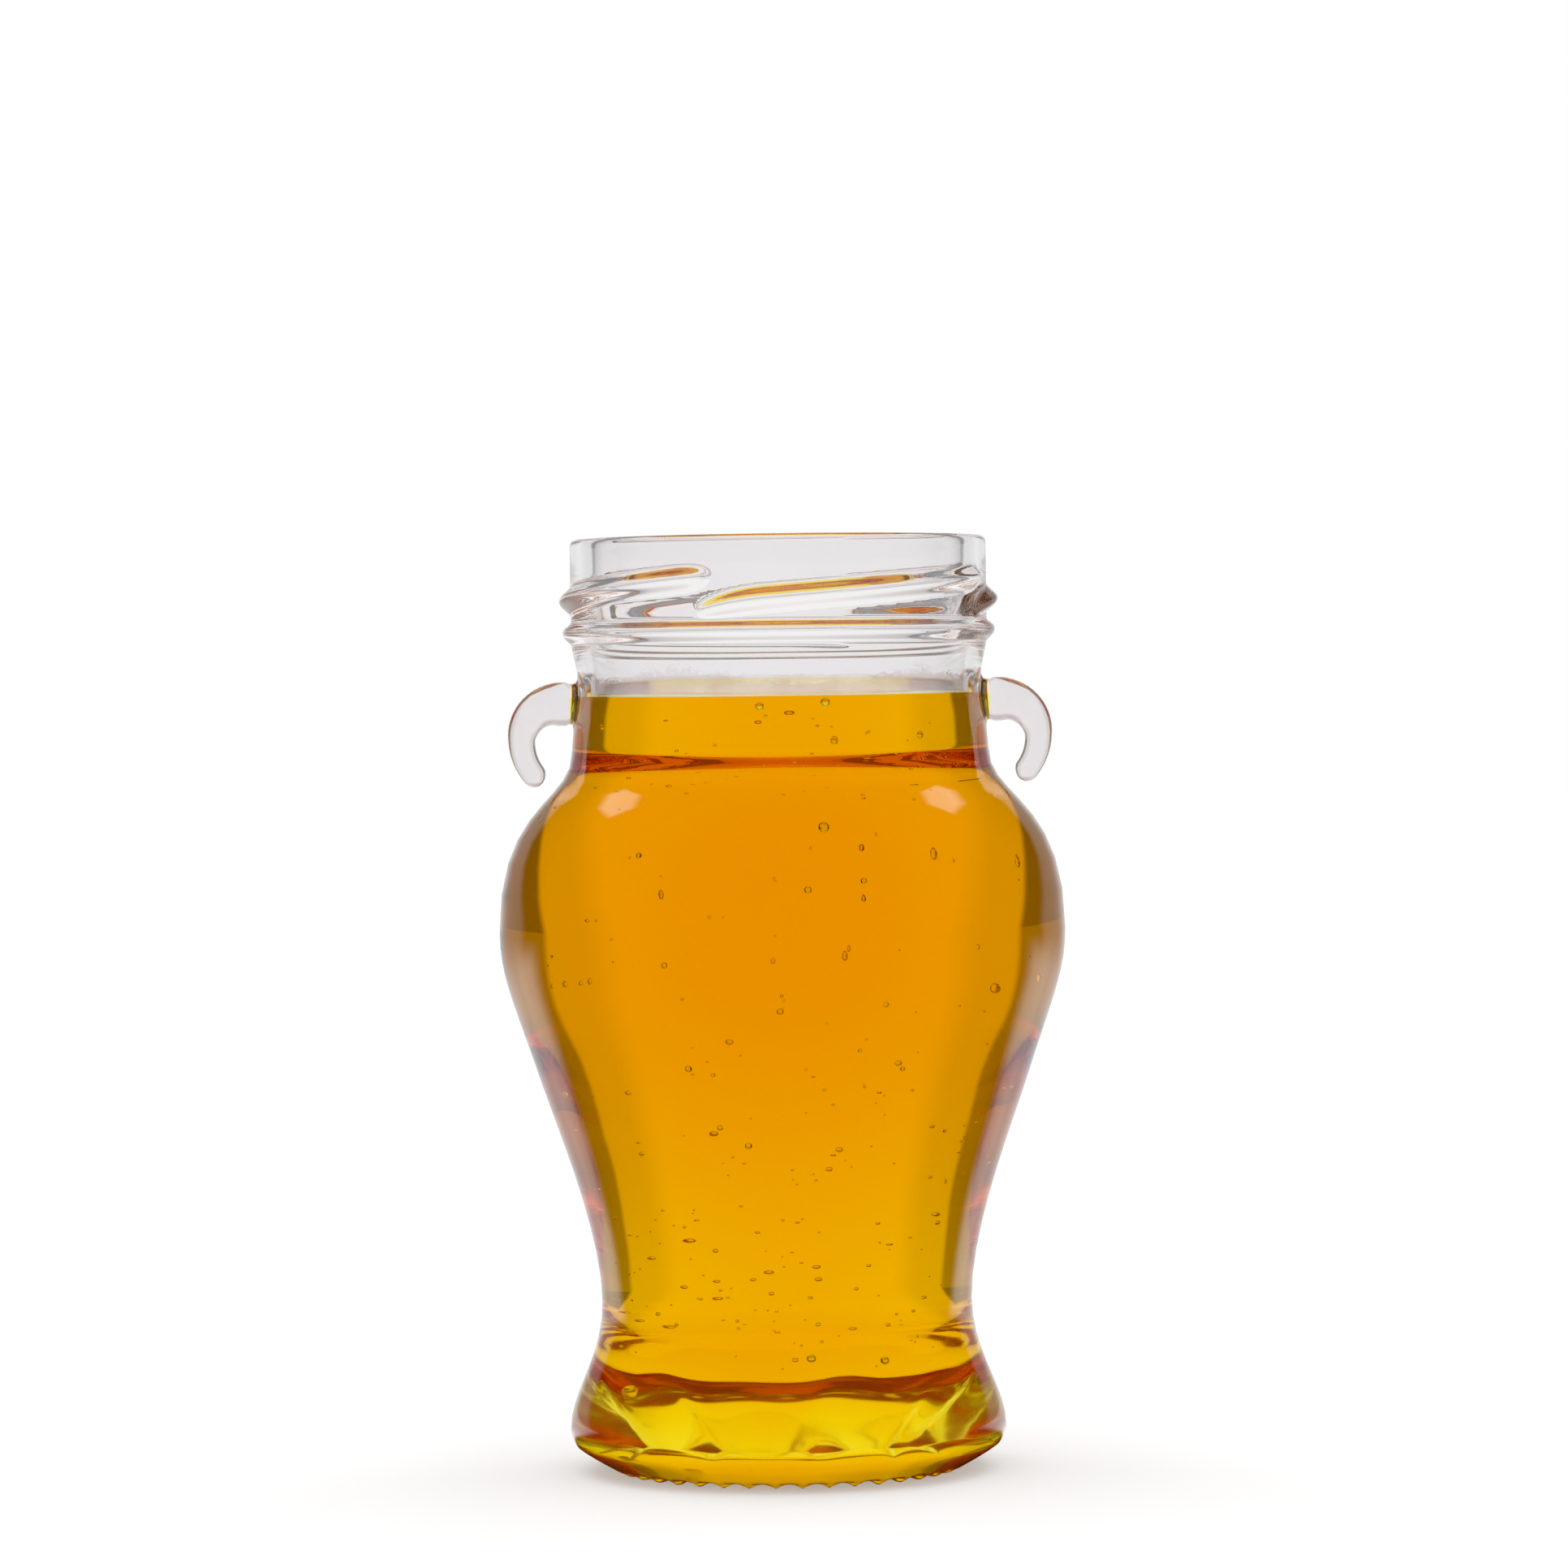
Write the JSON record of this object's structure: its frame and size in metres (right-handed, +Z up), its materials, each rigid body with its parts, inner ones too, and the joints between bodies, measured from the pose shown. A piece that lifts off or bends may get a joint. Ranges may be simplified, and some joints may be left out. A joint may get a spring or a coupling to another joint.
{
  "type": "honey jar",
  "caption": "Amphora-shaped clear glass jar with hook handles on the neck, a twist-off lid finish and a knurled foot, filled with amber honey.",
  "frame": {"origin": "on the jar's axis, in the plane that the knurled foot stands on", "axes": "+Z up along the jar's axis; the two hook handles point along +X and -X, and the pictured front faces -Y"},
  "size_m": [0.0672, 0.0672, 0.1104],
  "materials": {
    "clear_glass": "polished",
    "honey": "polished"
  },
  "bodies": {
    "root": {"glass_jar": "clear_glass", "honey": "honey"}
  },
  "joints": []
}
